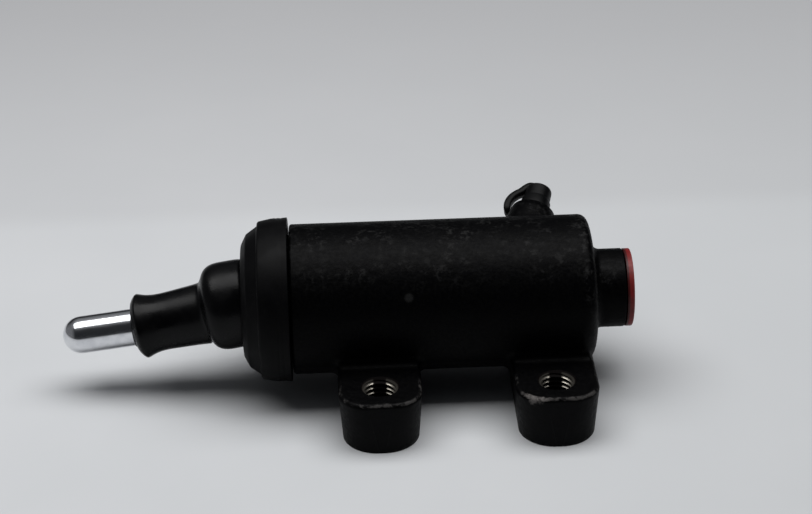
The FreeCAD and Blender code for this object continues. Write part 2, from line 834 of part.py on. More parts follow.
def draw_strap_path(sketch):
    """Out from the ring, round a half turn and back to the cap's crown."""
    start = "(cap_bore_radius + ring_radius) / 2"
    far = "strap_reach - strap_turn"
    levels = ("strap_low", "strap_high")
    low, high = (FreeCAD.Vector(size(level), size(start), 0) for level in levels)
    low_far, high_far = (FreeCAD.Vector(size(level), size(far), 0) for level in levels)
    tip = FreeCAD.Vector(size("(strap_low + strap_high) / 2"), size("strap_reach"), 0)
    sketch.addGeometry(Part.LineSegment(low, low_far), False)
    sketch.addGeometry(Part.Arc(low_far, tip, high_far), False)
    sketch.addGeometry(Part.LineSegment(high_far, high), False)
    fix_point(sketch, 0, 1, "strap_low", start)
    fix_point(sketch, 0, 2, "strap_low", far)
    fix_point(sketch, 2, 1, "strap_high", far)
    fix_point(sketch, 2, 2, "strap_high", start)


def make_bleed_cap():
    """One rubber moulding: a ring round the nipple, a strap and a cap over the nipple."""
    body = on_bleed_face("bleed_cap")
    ring_base = "hex_top + seat_gap"
    ring = [
        (ring_base, "cap_bore_radius"),
        (ring_base, "ring_radius"),
        ("ring_top", "ring_radius"),
        ("ring_top", "cap_bore_radius"),
    ]
    turn(body, "ring", ring)
    path = new_sketch(body, "strap_path", "XY_Plane")
    draw_strap_path(path)
    profile = new_sketch(body, "strap_section", "XZ_Plane")
    bind(profile, AttachmentOffset__Base__z="-(cap_bore_radius + ring_radius) / 2")
    draw_outline(
        profile,
        [
            ("strap_low - strap_thickness / 2", "-strap_width / 2"),
            ("strap_low + strap_thickness / 2", "-strap_width / 2"),
            ("strap_low + strap_thickness / 2", "strap_width / 2"),
            ("strap_low - strap_thickness / 2", "strap_width / 2"),
        ],
    )
    strap = body.newObject("PartDesign::AdditivePipe", "strap")
    strap.Profile = profile
    strap.Spine = (path, [])
    doc.recompute()
    inner_crown = "nipple_top + seat_clearance"
    skirt = "ring_top + skirt_gap"
    cap = [
        (skirt, "cap_bore_radius"),
        (skirt, "cap_radius"),
        ("cap_top - cap_crown_round", "cap_radius", "cap_crown_round", "right"),
        ("cap_top", "cap_radius - cap_crown_round"),
        ("cap_top", 0),
        (inner_crown, 0),
        (inner_crown, "cap_bore_radius"),
    ]
    turn(body, "cap", cap)
    return body


def make_port_plug():
    """A moulded plug with a tapered hollow stem and a flange as wide as the boss."""
    body = new_body("port_plug", along="inlet_face_x")
    flange = "plug_stand_off + plug_flange_thickness"
    root = "port_tap_radius - plug_stem_gap"
    tip = f"{root} - plug_taper"
    corners = [
        ("-plug_stem_length", 0),
        ("-plug_stem_length", tip),
        ("plug_stand_off", root),
        ("plug_stand_off", "plug_flange_radius"),
        (f"{flange} - plug_edge_chamfer", "plug_flange_radius"),
        (flange, "plug_flange_radius - plug_edge_chamfer"),
        (flange, f"{root} - plug_wall"),
        ("plug_wall - plug_stem_length", f"{tip} - plug_wall"),
        ("plug_wall - plug_stem_length", 0),
    ]
    turn(body, "plug_moulding", corners)
    return body


def check(subparts):
    """Stop if any feature or any piece failed."""
    failed = [thing.Name for thing in doc.Objects if {"Invalid", "Error"} & set(thing.State)]
    if failed:
        raise RuntimeError("features that failed: " + ", ".join(failed))
    for piece in subparts:
        if piece.Shape.isNull() or not piece.Shape.isValid() or len(piece.Shape.Solids) != 1:
            raise RuntimeError(piece.Label + " is not one sound solid")


def write(subparts):
    os.makedirs("parts", exist_ok=True)
    for piece in subparts:
        piece.Shape.exportStep(f"parts/{piece.Label}.step")
        print(f"{piece.Label}: {piece.Shape.Volume:.0f} cubic mm")


fill_sheet()
subparts = [
    make_casting(),
    make_piston(),
    make_circlip(),
    make_cup(),
    make_spreader(),
    make_spring(),
    make_push_rod(),
    make_boot(),
    make_bleed_screw(),
    make_bleed_cap(),
    make_port_plug(),
]
check(subparts)
write(subparts)
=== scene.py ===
import json
import math

import bmesh
import bpy
from mathutils import Matrix, Vector


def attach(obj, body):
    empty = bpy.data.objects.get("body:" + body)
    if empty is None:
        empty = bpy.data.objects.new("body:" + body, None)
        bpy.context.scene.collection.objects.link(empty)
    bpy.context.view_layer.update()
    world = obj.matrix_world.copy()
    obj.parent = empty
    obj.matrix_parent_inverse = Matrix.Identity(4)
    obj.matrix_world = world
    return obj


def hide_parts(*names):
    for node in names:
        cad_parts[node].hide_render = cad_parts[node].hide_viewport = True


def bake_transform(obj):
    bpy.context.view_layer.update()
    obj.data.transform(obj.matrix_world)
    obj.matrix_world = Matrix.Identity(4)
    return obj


# The looks of a clutch slave cylinder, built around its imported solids.
# X runs along the bore towards the inlet, Y from the mounting holes to the bore, Z up. Metres.

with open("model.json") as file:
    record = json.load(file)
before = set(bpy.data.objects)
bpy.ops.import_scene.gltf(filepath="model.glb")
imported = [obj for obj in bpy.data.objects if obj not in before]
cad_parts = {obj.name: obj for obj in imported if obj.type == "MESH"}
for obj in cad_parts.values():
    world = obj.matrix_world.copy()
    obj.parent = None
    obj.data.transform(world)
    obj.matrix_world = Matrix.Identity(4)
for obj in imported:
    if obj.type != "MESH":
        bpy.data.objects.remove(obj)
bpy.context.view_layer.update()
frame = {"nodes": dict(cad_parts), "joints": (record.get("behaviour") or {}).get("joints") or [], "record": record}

MM = 0.001
JOINTS = {joint["name"]: joint for joint in frame["joints"]}
MOUNTS = {mount["name"]: mount for mount in frame["record"]["mounts"]}

# Places that the frame gives
BALL = Vector(JOINTS["rod_tilt"]["pos_m"])
ROD_AXIS = Vector(MOUNTS["rod_end"]["axis"]).normalized()
BORE_AXIS = Vector((-1, 0, 0))
BLEED_FACE = Vector(JOINTS["bleed_screw_turn"]["pos_m"])
BLEED_AXIS = Vector(JOINTS["bleed_screw_turn"]["axis"]).normalized()
INLET_FACE = Vector(MOUNTS["inlet_port"]["pos_m"])
HOLE_REACH = MOUNTS["mounting_holes"]["dims"]["spacing_x_mm"] * MM / 2
HOLE_RADIUS = MOUNTS["mounting_holes"]["dims"]["hole_r_mm"] * MM

# Places on the casting that its finish needs, in millimetres
LUG_ROUND = 8.0
LUG_ROUND_ACROSS = 4.1
LUG_ROUND_AHEAD = -2.3
LUG_RIM_HEIGHT = 15.45
RUBBED_CORNER = (18.9, -7.9, 15.4)
PAINT_FLECK = (-16.2, 12.2, 37.5)
BOSS_PATCH = (41.5, 24.6, 36.2)
REAR_EDGE = 36.8


# Materials

class Shade:
    """A number that varies over a surface: a node's output that takes part in sums."""

    def __init__(self, finish, socket):
        self.finish = finish
        self.socket = socket

    def combine(self, operation, first, second=0.0):
        return self.finish.add("ShaderNodeMath", {"operation": operation}, {0: first, 1: second})

    def __add__(self, other):
        return self.combine("ADD", self, other)

    def __sub__(self, other):
        return self.combine("SUBTRACT", self, other)

    def __rsub__(self, other):
        return self.combine("SUBTRACT", other, self)

    def __mul__(self, other):
        return self.combine("MULTIPLY", self, other)

    def __truediv__(self, other):
        return self.combine("DIVIDE", self, other)

    def __abs__(self):
        return self.combine("ABSOLUTE", self)

    def __pow__(self, other):
        return self.combine("POWER", self, other)

    def at_least(self, floor):
        return self.combine("MAXIMUM", self, floor)

    __radd__ = __add__
    __rmul__ = __mul__


class Finish:
    """A material or the world's light under construction, with the few kinds of node shared here."""

    def __init__(self, name, kept_in=bpy.data.materials, place="Object"):
        self.owner = kept_in.new(name)
        self.owner.use_nodes = True
        self.nodes = self.owner.node_tree.nodes
        self.links = self.owner.node_tree.links
        self.nodes.clear()
        self.place = self.add("ShaderNodeTexCoord", output=place)

    def add(self, kind, settings=None, sockets=None, output=0):
        """A node of that type: its settings first, then its sockets' values or links."""
        node = self.nodes.new(kind)
        for name, value in (settings or {}).items():
            setattr(node, name, value)
        for name, value in (sockets or {}).items():
            if isinstance(value, Shade):
                self.links.new(value.socket, node.inputs[name])
            else:
                node.inputs[name].default_value = value
        return Shade(self, node.outputs[output])

    def along(self, letter):
        """A coordinate of the surface in the part's own frame, in millimetres."""
        return self.add("ShaderNodeSeparateXYZ", {}, {0: self.place}, letter) / MM

    def noise(self, grain, detail=2.0, roughness=0.5, stretch=None):
        """Soft spots between 0 and 1 that are about that many millimetres wide."""
        place = self.place
        if stretch:
            place = self.add("ShaderNodeMapping", {}, {"Vector": place, "Scale": stretch})
        sockets = {"Vector": place, "Scale": 1 / (grain * MM), "Detail": detail, "Roughness": roughness}
        return self.add("ShaderNodeTexNoise", {}, sockets)

    def ramp(self, value, low, high, start=0.0, end=1.0):
        """Start up to low and end from high on, with a smooth change between."""
        sockets = {0: value, 1: low, 2: high, 3: start, 4: end}
        return self.add("ShaderNodeMapRange", {"interpolation_type": "SMOOTHSTEP"}, sockets)

    def band(self, value, middle, half_width, soft):
        """1 within half_width of the middle, and 0 from soft beyond that."""
        return self.ramp(abs(value - middle), half_width, half_width + soft, 1.0, 0.0)

    def mix(self, share, colour, other):
        sockets = {0: share, 6: opaque(colour), 7: opaque(other)}
        return self.add("ShaderNodeMix", {"data_type": "RGBA"}, sockets, 2)

    def bump(self, height, depth):
        """A normal from a height between 0 and 1 that stands for that many millimetres."""
        return self.add("ShaderNodeBump", {}, {"Height": height, "Strength": 1.0, "Distance": depth * MM})

    def surface(self, colour, roughness, **sockets):
        inputs = {"Base Color": opaque(colour), "Roughness": roughness}
        inputs.update({name.replace("_", " "): value for name, value in sockets.items()})
        shader = self.add("ShaderNodeBsdfPrincipled", {}, inputs)
        self.add_output(shader)
        return self.owner

    def add_output(self, shader, kind="ShaderNodeOutputMaterial"):
        output = self.nodes.new(kind)
        self.links.new(shader.socket, output.inputs["Surface"])


def opaque(colour):
    return colour if isinstance(colour, Shade) else (*colour[:3], 1.0)


def hole_distance(finish):
    """Millimetres from the nearer mounting hole's axis."""
    across = abs(finish.along("X")) - HOLE_REACH / MM
    return (across * across + finish.along("Y") * finish.along("Y")) ** 0.5


def lug_edge_distance(finish):
    """Millimetres outside the plan of a lug's top, which is rounded at its front corners."""
    across = (abs(abs(finish.along("X")) - HOLE_REACH / MM) - LUG_ROUND_ACROSS).at_least(0.0)
    ahead = (LUG_ROUND_AHEAD - finish.along("Y")).at_least(0.0)
    return (across * across + ahead * ahead) ** 0.5 - LUG_ROUND


def near_spot(finish, spot, reach):
    """1 at a spot given in millimetres, falling to 0 at that reach."""
    offsets = [finish.along(letter) - place for letter, place in zip("XYZ", spot)]
    square = offsets[0] * offsets[0] + offsets[1] * offsets[1] + offsets[2] * offsets[2]
    return finish.ramp(square ** 0.5, 0.4 * reach, reach, 1.0, 0.0)


def casting_paint():
    """Satin black paint on rough iron, dusty on top, with worn metal along the rims of the lugs, painted shade
    that keeps the paint darker above the lugs' tops than below, and a painted highlight among dust specks along
    the rear round.
    """
    finish = Finish("casting_paint")
    lumps = finish.noise(4.0, 3.0)
    grain = finish.noise(0.9, 3.0, 0.5)
    upper = finish.ramp(finish.along("Z"), 38.0, 46.0)
    height = lumps * 0.8 + grain * 0.2
    edge = finish.ramp(lug_edge_distance(finish), -1.3, -0.9)
    rim = finish.band(finish.along("Z") + grain * 0.5, LUG_RIM_HEIGHT, 0.16, 0.3) * edge
    front = finish.ramp(finish.along("Y"), 0.0, 5.0, 1.0, 0.0)
    chips = finish.ramp(finish.noise(3.4, 4.0, 0.7), 0.48, 0.58)
    rub = near_spot(finish, RUBBED_CORNER, 4.8) * finish.ramp(lug_edge_distance(finish), -2.4, -1.2)
    rubbed = finish.ramp(rub - finish.noise(1.4, 3.0, 0.6) * 1.3, 0.05, 0.6)
    worn = (rim * front * (chips * 0.95 + 0.03)).at_least(rubbed)
    bare = finish.mix(rub, (0.04, 0.038, 0.037), (0.13, 0.12, 0.115))
    cloud = finish.ramp(finish.noise(8.0, 2.0), 0.4, 0.62)
    specks = finish.ramp(finish.noise(1.8, 4.0, 0.7), 0.48, 0.7)
    fleck = near_spot(finish, PAINT_FLECK, 1.7)
    dust = specks * (cloud * 0.85 + 0.15) * (upper * 0.97 + 0.03)
    # Along the rear round: dust specks with a painted highlight, a lighter streak standing in for light on the
    # rounded edge.
    rear = finish.band(finish.along("X"), REAR_EDGE, 1.2, 1.8) * finish.ramp(finish.along("Z"), 24.0, 34.0)
    boss = near_spot(finish, BOSS_PATCH, 5.0)
    # Dust, a paint fleck and lighter patches on the boss, together with the painted highlight along the rear
    # round.
    dust_and_highlight = dust + fleck * 0.8 + rear * specks * 0.6 + boss * specks * 0.9
    # Painted shade: the black is darker above the lugs' tops (0.0005) than on the lug sides below (0.004),
    # standing in for how the light falls there.
    low = finish.ramp(finish.along("Z"), 13.8, 14.8, 1.0, 0.0)
    black = finish.mix(low, (0.0005, 0.0005, 0.0007), (0.004, 0.004, 0.0043))
    paint = finish.mix(dust_and_highlight, black, (0.016, 0.016, 0.016))
    colour = finish.mix(worn, paint, bare)
    roughness = finish.ramp(grain, 0.3, 0.7, 0.4, 0.55)
    return finish.surface(colour, roughness, Normal=finish.bump(height, 0.3), Specular_IOR_Level=0.045)


def thread_steel():
    """Freshly cut iron in the mounting threads, with a painted glint at the sides of each hole and painted shade
    in front, behind, deep down and in the thread roots; dark on the chamfer.
    """
    finish = Finish("thread_steel")
    # Painted shade in the thread roots, lower down the hole and in front and behind; a painted glint at the left
    # and right of each hole.
    root = finish.ramp(hole_distance(finish), 4.3, 4.8)
    across = abs(abs(finish.along("X")) - HOLE_REACH / MM)
    side = finish.ramp(across + finish.noise(1.5, 3.0) * 0.8, 2.0, 2.6)
    below = finish.ramp(finish.along("Z"), 8.0, 12.0)
    bright = side * below * (1 - root * 0.9) * finish.ramp(hole_distance(finish), 5.0, 5.3, 1.0, 0.0)
    colour = finish.mix(bright, (0.003, 0.002, 0.002), (0.33, 0.31, 0.27))
    roughness = finish.ramp(bright, 0, 1, 0.6, 0.3)
    return finish.surface(colour, roughness, Metallic=finish.ramp(bright, 0, 0.4), Specular_IOR_Level=0.05)


def boot_rubber(name, sheen, gloss):
    """Moulded black rubber with a soft satin gloss and a trace of dust."""
    finish = Finish(name)
    grain = finish.noise(0.5, 3.0)
    waves = finish.noise(6.0, 2.0)
    dust = finish.ramp(finish.noise(3.0, 4.0, 0.65), 0.5, 0.8) * 0.4
    colour = finish.mix(dust, (0.0012, 0.0012, 0.0015), (0.005, 0.005, 0.005))
    roughness = finish.ramp(waves, 0.3, 0.7, sheen - 0.06, sheen + 0.08)
    bump = finish.bump(grain * 0.4 + waves * 0.6, 0.08)
    return finish.surface(colour, roughness, Normal=bump, Specular_IOR_Level=gloss)


def bright_zinc():
    """Clear zinc plate on a drawn rod, with faint rings from its tumbling and a soft haze."""
    finish = Finish("bright_zinc")
    haze = finish.noise(3.0, 3.0)
    scratches = finish.noise(0.6, 2.0, 0.5, (0.15, 1.0, 1.0))
    colour = finish.mix(finish.ramp(haze, 0.35, 0.7), (0.78, 0.79, 0.81), (0.66, 0.67, 0.7))
    roughness = finish.ramp(haze * 0.6 + scratches * 0.4, 0.3, 0.7, 0.14, 0.2)
    return finish.surface(colour, roughness, Metallic=1.0, Normal=finish.bump(scratches, 0.003))


def turned_metal(name, colour, roughness):
    """A machined surface with fine tool marks round the bore axis."""
    finish = Finish(name)
    marks = finish.noise(0.35, 2.0, 0.5, (1.0, 0.08, 0.08))
    stain = finish.noise(2.5, 3.0)
    tone = finish.mix(finish.ramp(stain, 0.35, 0.75), colour, tuple(0.78 * part for part in colour))
    rough = finish.ramp(marks, 0.3, 0.7, roughness - 0.06, roughness + 0.08)
    return finish.surface(tone, rough, Metallic=1.0, Normal=finish.bump(marks, 0.012))


def moulded_seat():
    """Natural nylon, waxy and a little mottled."""
    finish = Finish("moulded_seat")
    cloud = finish.noise(2.0, 2.0)
    colour = finish.mix(cloud, (0.7, 0.68, 0.6), (0.62, 0.6, 0.52))
    return finish.surface(colour, finish.ramp(cloud, 0.3, 0.7, 0.4, 0.5), Normal=finish.bump(cloud, 0.02))


def plug_plastic():
    """Red moulded plastic, with painted shade where it sits against the port's face and a painted highlight where
    its rim's edge catches the light.
    """
    finish = Finish("plug_plastic")
    grain = finish.noise(1.2, 3.0)
    stand_out = finish.along("X") - INLET_FACE.x / MM
    red = finish.mix(finish.ramp(grain, 0.35, 0.7), (0.18, 0.011, 0.011), (0.13, 0.009, 0.009))
    # Painted shade: darker red-black close to the port's face.
    shaded = finish.mix(finish.ramp(stand_out, 0.5, 0.95), (0.04, 0.004, 0.004), red)
    beside = finish.along("Y") - INLET_FACE.y / MM
    above = finish.along("Z") - INLET_FACE.z / MM
    edge = finish.ramp((beside * beside + above * above) ** 0.5, 10.6, 11.3)
    # Painted highlight: a paler band on the rim's outer edge.
    colour = finish.mix(finish.ramp(stand_out, 1.5, 2.1) * edge * 0.5, shaded, (0.24, 0.05, 0.045))
    roughness = finish.ramp(grain, 0.3, 0.7, 0.38, 0.5)
    return finish.surface(colour, roughness, Normal=finish.bump(grain, 0.02), Specular_IOR_Level=0.25)


# Shapes

def rounded(corners, steps=5):
    """An outline of (along, radius[, round]) corners in millimetres, with arcs at the rounded ones."""
    points = [Vector(corner[:2]) for corner in corners]
    outline = []
    for index, corner in enumerate(corners):
        here = points[index]
        if len(corner) < 3 or index in (0, len(corners) - 1):
            outline.append(here)
            continue
        back = points[index - 1] - here
        ahead = points[index + 1] - here
        half = back.angle(ahead) / 2
        reach = min(corner[2] / math.tan(half), back.length * 0.9, ahead.length * 0.9)
        start = here + back.normalized() * reach
        end = here + ahead.normalized() * reach
        for step in range(steps + 1):
            share = step / steps
            near = start.lerp(here, share)
            far = here.lerp(end, share)
            outline.append(near.lerp(far, share))
    return outline


def side_vectors(axis):
    """Two directions square to an axis, the first as near to up as can be."""
    up = Vector((0, 0, 1))
    up = (up - axis * up.dot(axis)).normalized()
    return up, axis.cross(up)


def lofted(name, rings, segments=96, closed=False):
    """A skin through round rings: each is (centre, axis, radius). Radius 0 gives a single point."""
    mesh = bmesh.new()
    rows = []
    for centre, axis, radius in rings:
        up, side = side_vectors(axis)
        count = segments if radius > 1e-6 else 1
        angles = [2 * math.pi * step / segments for step in range(count)]
        rows.append([
            mesh.verts.new(centre + (up * math.cos(angle) + side * math.sin(angle)) * radius)
            for angle in angles
        ])
    pairs = list(zip(rows, rows[1:]))
    if closed:
        pairs.append((rows[-1], rows[0]))
    for row, after in pairs:
        for step in range(segments):
            corners = [row[step % len(row)], row[(step + 1) % len(row)]]
            corners += [after[(step + 1) % len(after)], after[step % len(after)]]
            corners = list(dict.fromkeys(corners))
            if len(corners) > 2:
                mesh.faces.new(corners)
    bmesh.ops.recalc_face_normals(mesh, faces=mesh.faces)
    return finished(name, mesh)


def finished(name, mesh):
    """A smooth object from a built mesh."""
    data = bpy.data.meshes.new(name)
    mesh.to_mesh(data)
    mesh.free()
    piece = bpy.data.objects.new(name, data)
    bpy.context.scene.collection.objects.link(piece)
    data.shade_smooth()
    return piece


def turned(name, outline, start, axis, segments=96, closed=True):
    """A piece turned about an axis from start: outline points are (along, radius) in millimetres."""
    rings = [(start + axis * point[0] * MM, axis, point[1] * MM) for point in outline]
    return lofted(name, rings, segments, closed)


def crisp(piece, angle=35):
    """Keep the edges sharper than that angle."""
    piece.data.set_sharp_from_angle(angle=math.radians(angle))
    return piece


def dress(piece, material):
    piece.data.materials.clear()
    piece.data.materials.append(material)
    return piece


# The casting and its mounting threads

THREAD_PITCH = 1.5 * MM
THREAD_DEPTH = 0.75 * MM
HOLE_CHAMFER = 1.3 * MM
LUG_TOP = 15.6 * MM
BARREL_REAR = 38.9 * MM
BARREL_RADIUS = 22.2 * MM
REAR_ROUND = 5.0 * MM
REAR_LEAN = 1.5 * MM
REAR_MIDDLE = 13 * MM
SLACK = 0.01 * MM


def near_hole(point, reach):
    return math.hypot(abs(point.x) - HOLE_REACH, point.y) < reach


def draw_rear_end(point):
    """Square up the round of the barrel's rear end, and let its upper half lean forward as cast."""
    out = Vector((0, point.y - BALL.y, point.z - BALL.z))
    inward = point.x - (BARREL_REAR - REAR_ROUND)
    outward = out.length - (BARREL_RADIUS - REAR_ROUND)
    on_rear = inward >= 0 and point.x <= BARREL_REAR + SLACK
    if not on_rear or not REAR_MIDDLE < out.length < BARREL_RADIUS + SLACK:
        return
    if outward > 0:
        upper = min(1.0, max(0.0, out.z / (5 * MM)))
        square = 0.16 * upper * (2 * inward * outward / REAR_ROUND**2) ** 2
        point.x += inward * square
        point += out.normalized() * outward * square
    rise = max(0.0, out.z / BARREL_RADIUS)
    reach = min(1.0, (out.length - REAR_MIDDLE) / (9 * MM))
    point.x -= REAR_LEAN * rise * reach * inward / REAR_ROUND


def make_casting():
    """The casting's own solid, with the walls and chamfers of its mounting holes taken out."""
    mesh = bmesh.new()
    mesh.from_mesh(frame["nodes"]["cylinder_body"].data)
    bmesh.ops.remove_doubles(mesh, verts=mesh.verts, dist=1e-6)
    walls = [
        face for face in mesh.faces
        if all(near_hole(corner.co, HOLE_RADIUS + HOLE_CHAMFER + 0.02 * MM) for corner in face.verts)
    ]
    bmesh.ops.delete(mesh, geom=walls, context="FACES")
    for corner in mesh.verts:
        draw_rear_end(corner.co)
    piece = crisp(finished("casting", mesh), 40)
    piece.modifiers.new("even shading", "WEIGHTED_NORMAL").keep_sharp = True
    return dress(piece, casting_paint())


def thread_radius(height, share):
    """The thread's own V, or the chamfer where that is wider."""
    valley = max(0.0, min(1.0, (0.5 - abs(share - 0.5)) * 2.6 - 0.2))
    if height <= 0 or height >= LUG_TOP:
        valley = 0.0
    return HOLE_RADIUS + max(valley * THREAD_DEPTH, height - LUG_TOP + HOLE_CHAMFER)


def make_thread(name, side):
    """A V thread cut outwards from the hole's wall, turn upon turn, up through its chamfer."""
    mesh = bmesh.new()
    segments = 72
    steps = 10
    turns = math.ceil(LUG_TOP / THREAD_PITCH) + 1
    rows = []
    for segment in range(segments + 1):
        angle = 2 * math.pi * segment / segments
        row = []
        for step in range(-steps, turns * steps + 1):
            height = min(max((step / steps + segment / segments) * THREAD_PITCH, 0.0), LUG_TOP)
            radius = thread_radius(height, step % steps / steps)
            row.append(mesh.verts.new((
                side * HOLE_REACH + radius * math.cos(angle), radius * math.sin(angle), height,
            )))
        rows.append(row)
    for row, after in zip(rows, rows[1:]):
        for index in range(len(row) - 1):
            mesh.faces.new([row[index], row[index + 1], after[index + 1], after[index]])
    bmesh.ops.remove_doubles(mesh, verts=mesh.verts, dist=1e-6)
    bmesh.ops.recalc_face_normals(mesh, faces=mesh.faces)
    bmesh.ops.reverse_faces(mesh, faces=mesh.faces)
    return crisp(finished(name, mesh), 30)


casting = make_casting()
steel = thread_steel()
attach(casting, "cylinder")
for name, side in (("left_thread", -1), ("right_thread", 1)):
    thread = make_thread(name, side)
    dress(thread, steel)
    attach(thread, "cylinder")
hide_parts("cylinder_body")


# The dust boot: a collar and dome on the spigot, and a bulge and neck that follow the rod

MOUTH = Vector((-61.5 * MM, BALL.y, BALL.z))
NECK_PIVOT = MOUTH - BORE_AXIS * 4.4 * MM
NECK_LEAN = math.radians(10.8)
NECK_AXIS = Vector((-math.cos(NECK_LEAN), 0, -math.sin(NECK_LEAN)))
BULGE_LEAN = math.radians(9.5)
BULGE_AXIS = Vector((-math.cos(BULGE_LEAN), 0, -math.sin(BULGE_LEAN)))
COLLAR_REAR = 10.7
COLLAR_FRONT = 1.8
DOME_FACE = 3.2
WALL = 1.8
BULGE_TURN = 8 * MM
BULGE_DROP = Vector((0, 0, 0.25 * MM))


def collar_outline():
    """Distances along the bore from the spigot's mouth, towards the rod, and radii."""
    grooves = []
    for place in (-8.9, -7.6, -6.3):
        grooves += [(place - 0.3, 24.17), (place, 24.08), (place + 0.3, 24.1)]
    outside = [(-COLLAR_REAR, 19.1), (-COLLAR_REAR, 24.3, 0.3)] + grooves + [
        (-COLLAR_FRONT, 23.3, 0.9),
        (-COLLAR_FRONT + 0.1, 22.0, 0.4),
        (1.6, 19.7, 1.5),
        (DOME_FACE, 16.6, 2.2),
        (DOME_FACE + 0.1, 11.5, 0.3),
        (DOME_FACE + 2.9, 11.4),
    ]
    inside = [
        (DOME_FACE + 2.9, 10.9),
        (DOME_FACE - WALL, 10.9),
        (DOME_FACE - WALL, 15.0, 0.5),
        (0.2, 19.1, 1.5),
    ]
    return rounded(outside) + rounded(inside)


collar = turned("boot_collar", collar_outline(), MOUTH, BORE_AXIS)
dress(crisp(collar, 50), boot_rubber("boot_rubber", 0.5, 0.07))


def neck_rings():
    """The bulge on its own axis, then the neck and its domed mouth on theirs, and back inside."""
    bulge_start = MOUTH + (ROD_AXIS - BULGE_AXIS) * BULGE_TURN - BULGE_DROP
    bulge = [
        (0.6, 12.5), (2.4, 12.9), (4.2, 13.0), (6.0, 13.0), (8.2, 13.05), (10.0, 12.95), (11.4, 12.6),
        (12.5, 12.0), (13.3, 11.2), (13.8, 10.4), (14.1, 9.7),
    ]
    neck = [
        (19.2, 9.35), (19.7, 9.15), (23.6, 8.88), (27.1, 8.68), (30.0, 8.5), (32.3, 8.43), (34.2, 8.53),
        (36.0, 8.85), (37.3, 9.3), (38.1, 9.62), (38.6, 9.66), (39.0, 9.4), (39.8, 8.5), (40.6, 7.3),
    ]
    lip = [(6.2, -0.2), (6.0, 0.7), (5.75, 0.8), (5.68, 0.5), (5.68, -2.8)]
    lining = [(37.0, 7.3), (24.0, 7.3), (19.5, 7.6)]
    bulge_lining = [(13.0, 8.8), (12.0, 10.0), (9.5, 11.2), (4.0, 11.1), (2.9, 10.9)]
    mouth = NECK_PIVOT + NECK_AXIS * 40.3 * MM
    lip_start = BALL + ROD_AXIS * (mouth - BALL).dot(ROD_AXIS)
    return (
        [(bulge_start + BULGE_AXIS * along * MM, BULGE_AXIS, radius * MM) for along, radius in bulge]
        + [(NECK_PIVOT + NECK_AXIS * along * MM, NECK_AXIS, radius * MM) for along, radius in neck]
        + [(lip_start + ROD_AXIS * along * MM, ROD_AXIS, radius * MM) for radius, along in lip]
        + [(NECK_PIVOT + NECK_AXIS * along * MM, NECK_AXIS, radius * MM) for along, radius in lining]
        + [
            (bulge_start + BULGE_AXIS * along * MM, BULGE_AXIS, radius * MM)
            for along, radius in bulge_lining
        ]
    )


neck = lofted("boot_neck", neck_rings(), closed=True)
subdivide = neck.modifiers.new("round", "SUBSURF")
subdivide.levels = subdivide.render_levels = 1
dress(neck, boot_rubber("neck_rubber", 0.28, 0.13))
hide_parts("dust_boot")
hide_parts("dust_boot")
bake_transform(collar)
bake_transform(neck)


# The bleed cap, its strap and ring

BLEED_LEFT = Vector((-BLEED_AXIS.y, BLEED_AXIS.x, 0)).normalized()
BLEED_UP = BLEED_AXIS.cross(BLEED_LEFT)


def cap_outline():
    """Distances above the face of the bleed boss, and radii: its skirt hides the screw's hexagon."""
    outside = [(0.4, 4.2), (0.4, 4.75, 0.4), (4.6, 4.5), (5.2, 4.1, 0.6), (8.6, 4.0), (9.7, 3.9, 0.5)]
    inside = [(9.65, 0.0), (8.7, 0.0), (8.7, 2.95), (4.7, 2.95), (4.4, 4.2)]
    return rounded(outside + inside[:1]) + inside[1:]


def smooth_path(points, steps=6):
    """A curve through the points, bending gently between them."""
    ends = [points[0] * 2 - points[1], *points, points[-1] * 2 - points[-2]]
    path = []
    for before, here, after, beyond in zip(ends, ends[1:], ends[2:], ends[3:]):
        for step in range(steps):
            share = step / steps
            slope = (after - before) * share
            curve = (before * 2 - here * 5 + after * 4 - beyond) * share**2
            twist = (here * 3 - before - after * 3 + beyond) * share**3
            path.append(here + (slope + curve + twist) / 2)
    return path + [points[-1]]


def make_strap():
    """A flat rubber strap that loops out from the cap's crown and back to the ring."""
    places = [
        (-1.6, 9.5, 0.0), (0.8, 10.3, 0.0), (2.9, 10.7, 0.0), (4.3, 9.5, 0.0),
        (5.3, 8.1, 0.0), (6.5, 7.0, 0.0), (7.8, 5.2, 0.0), (8.4, 2.6, 0.0),
        (8.0, 0.1, -0.8), (6.8, -0.2, -3.2), (4.8, 1.6, -4.6), (2.6, 3.2, -3.8),
    ]
    path = smooth_path([
        BLEED_FACE + (BLEED_LEFT * out + BLEED_AXIS * along + BLEED_UP * up) * MM
        for out, along, up in places
    ])
    mesh = bmesh.new()
    rows = []
    for index, centre in enumerate(path):
        ahead = (path[min(index + 1, len(path) - 1)] - path[max(index - 1, 0)]).normalized()
        thick = ahead.cross(BLEED_UP)
        corners = [(-1.45, -0.65), (-1.1, -1.05), (1.1, -1.05), (1.45, -0.65)]
        corners += [(-across, -deep) for across, deep in corners]
        rows.append([
            mesh.verts.new(centre + (BLEED_UP * across + thick * deep) * MM) for across, deep in corners
        ])
    for row, after in zip(rows, rows[1:]):
        for index in range(8):
            mesh.faces.new([row[index], row[(index + 1) % 8], after[(index + 1) % 8], after[index]])
    mesh.faces.new(rows[0])
    mesh.faces.new(rows[-1])
    bmesh.ops.recalc_face_normals(mesh, faces=mesh.faces)
    return crisp(finished("bleed_cap_strap", mesh), 50)


